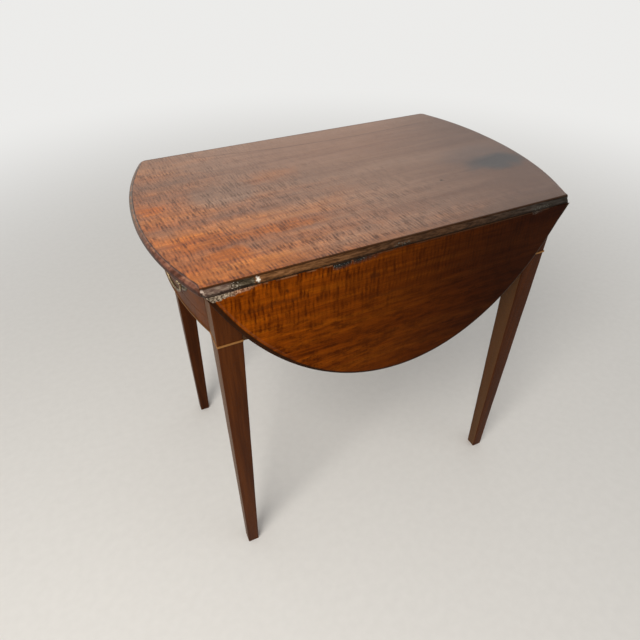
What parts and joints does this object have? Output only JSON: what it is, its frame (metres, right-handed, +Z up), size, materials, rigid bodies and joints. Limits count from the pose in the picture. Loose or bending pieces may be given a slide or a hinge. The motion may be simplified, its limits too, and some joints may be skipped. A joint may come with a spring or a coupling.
{
  "type": "pembroke table",
  "caption": "Oval pembroke table with rule-jointed drop leaves, a bowed frieze drawer with brass bail handles, boxwood stringing and square tapered legs.",
  "frame": {"origin": "on the floor, under the middle of the top", "axes": "+X along the hinge lines, from the drawer end to the blind end; +Y across, from the near leaf to the far leaf; +Z up"},
  "size_m": [0.7418, 0.5128, 0.71],
  "materials": {
    "mahogany_top": "worn polish",
    "mahogany_leaf": "worn polish",
    "mahogany_leg": "dark worn polish",
    "mahogany_frieze": "worn polish",
    "boxwood": "polished string",
    "oak_lining": "bare",
    "plain_wood": "bare",
    "brass": "dull, toned",
    "iron": "black, oiled"
  },
  "bodies": {
    "frame": {"blind_backplates": "brass", "blind_end_rail": "mahogany_frieze", "blind_end_string": "boxwood", "blind_handle_posts": "brass", "collar_blind_far": "boxwood", "collar_blind_near": "boxwood", "collar_drawer_far": "boxwood", "collar_drawer_near": "boxwood", "drawer_end_string": "boxwood", "drawer_stops": "plain_wood", "far_drawer_kicker": "plain_wood", "far_drawer_runner": "plain_wood", "far_fly_block": "plain_wood", "far_fly_bracket": "plain_wood", "far_fly_end_block": "plain_wood", "far_fly_pin": "iron", "far_hinge_pins": "iron", "far_hinge_top_plates": "iron", "far_hinge_top_screws": "iron", "far_side_rail": "plain_wood", "leg_blind_far": "mahogany_leg", "leg_blind_near": "mahogany_leg", "leg_drawer_far": "mahogany_leg", "leg_drawer_near": "mahogany_leg", "lower_drawer_rail": "mahogany_frieze", "near_drawer_kicker": "plain_wood", "near_drawer_runner": "plain_wood", "near_fly_block": "plain_wood", "near_fly_bracket": "plain_wood", "near_fly_end_block": "plain_wood", "near_fly_pin": "iron", "near_hinge_pins": "iron", "near_hinge_top_plates": "iron", "near_hinge_top_screws": "iron", "near_side_rail": "plain_wood", "top_board": "mahogany_top", "top_screws": "iron", "upper_drawer_rail": "mahogany_frieze"},
    "near_leaf": {"near_leaf": "mahogany_leaf", "near_hinge_leaf_plates": "iron", "near_hinge_leaf_screws": "iron"},
    "far_leaf": {"far_leaf": "mahogany_leaf", "far_hinge_leaf_plates": "iron", "far_hinge_leaf_screws": "iron"},
    "drawer": {"drawer_front": "mahogany_frieze", "near_drawer_side": "oak_lining", "far_drawer_side": "oak_lining", "drawer_back": "oak_lining", "drawer_bottom": "oak_lining", "drawer_backplates": "brass", "drawer_handle_posts": "brass", "drawer_handle_nuts": "brass"},
    "drawer_bail_near": {"drawer_bail_near": "brass"},
    "drawer_bail_far": {"drawer_bail_far": "brass"},
    "blind_bail_near": {"blind_bail_near": "brass"},
    "blind_bail_far": {"blind_bail_far": "brass"}
  },
  "joints": [
    {"name": "near_leaf_hinge", "type": "hinge", "parent": "frame", "child": "near_leaf", "pos_m": [0, -0.224, 0.6998], "axis": [-1, 0, 0], "range_deg": [0, 84.5]},
    {"name": "far_leaf_hinge", "type": "hinge", "parent": "frame", "child": "far_leaf", "pos_m": [0, 0.224, 0.6998], "axis": [1, 0, 0], "range_deg": [0, 84.5]},
    {"name": "drawer_slide", "type": "slide", "parent": "frame", "child": "drawer", "axis": [-1, 0, 0], "range_m": [0, 0.3]},
    {"name": "drawer_bail_near_hinge", "type": "hinge", "parent": "drawer", "child": "drawer_bail_near", "pos_m": [-0.33873, -0.0962, 0.657], "axis": [-0.1604, 0.987, 0], "range_deg": [-8, 170]},
    {"name": "drawer_bail_far_hinge", "type": "hinge", "parent": "drawer", "child": "drawer_bail_far", "pos_m": [-0.33873, 0.0962, 0.657], "axis": [0.1604, 0.987, 0], "range_deg": [-8, 170]},
    {"name": "blind_bail_near_hinge", "type": "hinge", "parent": "frame", "child": "blind_bail_near", "pos_m": [0.33873, -0.0962, 0.657], "axis": [-0.1604, -0.987, 0], "range_deg": [-8, 170]},
    {"name": "blind_bail_far_hinge", "type": "hinge", "parent": "frame", "child": "blind_bail_far", "pos_m": [0.33873, 0.0962, 0.657], "axis": [0.1604, -0.987, 0], "range_deg": [-8, 170]}
  ]
}
